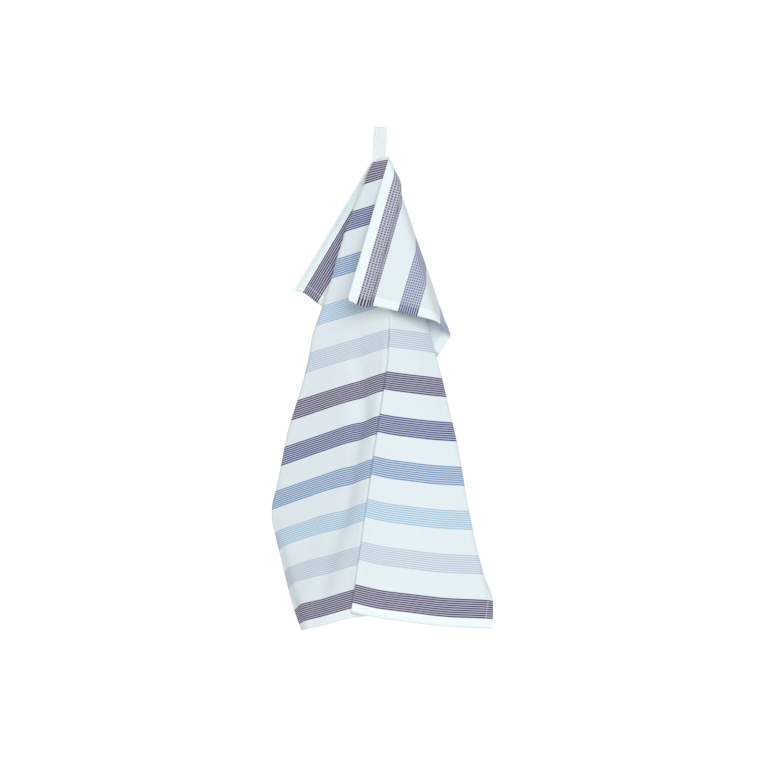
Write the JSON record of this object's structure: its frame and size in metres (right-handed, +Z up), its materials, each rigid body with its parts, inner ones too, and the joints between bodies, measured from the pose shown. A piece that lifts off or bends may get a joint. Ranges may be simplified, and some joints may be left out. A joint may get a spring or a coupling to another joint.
{
  "type": "hanging tea towel",
  "caption": "Striped tea towel hanging in loose folds from a tape loop sewn behind the middle of its top hem.",
  "frame": {"origin": "top of the loop's eye, where a hook carries the towel", "axes": "+Z up, +X to the viewer's right, -Y toward the viewer"},
  "size_m": [0.3355, 0.1364, 0.7614],
  "materials": {
    "striped_cotton": "plain woven cotton, matt, with woven stripes",
    "white_tape": "narrow woven cotton tape, matt"
  },
  "bodies": {
    "root": {"towel_cloth": "striped_cotton", "hanging_loop": "white_tape"}
  },
  "joints": []
}
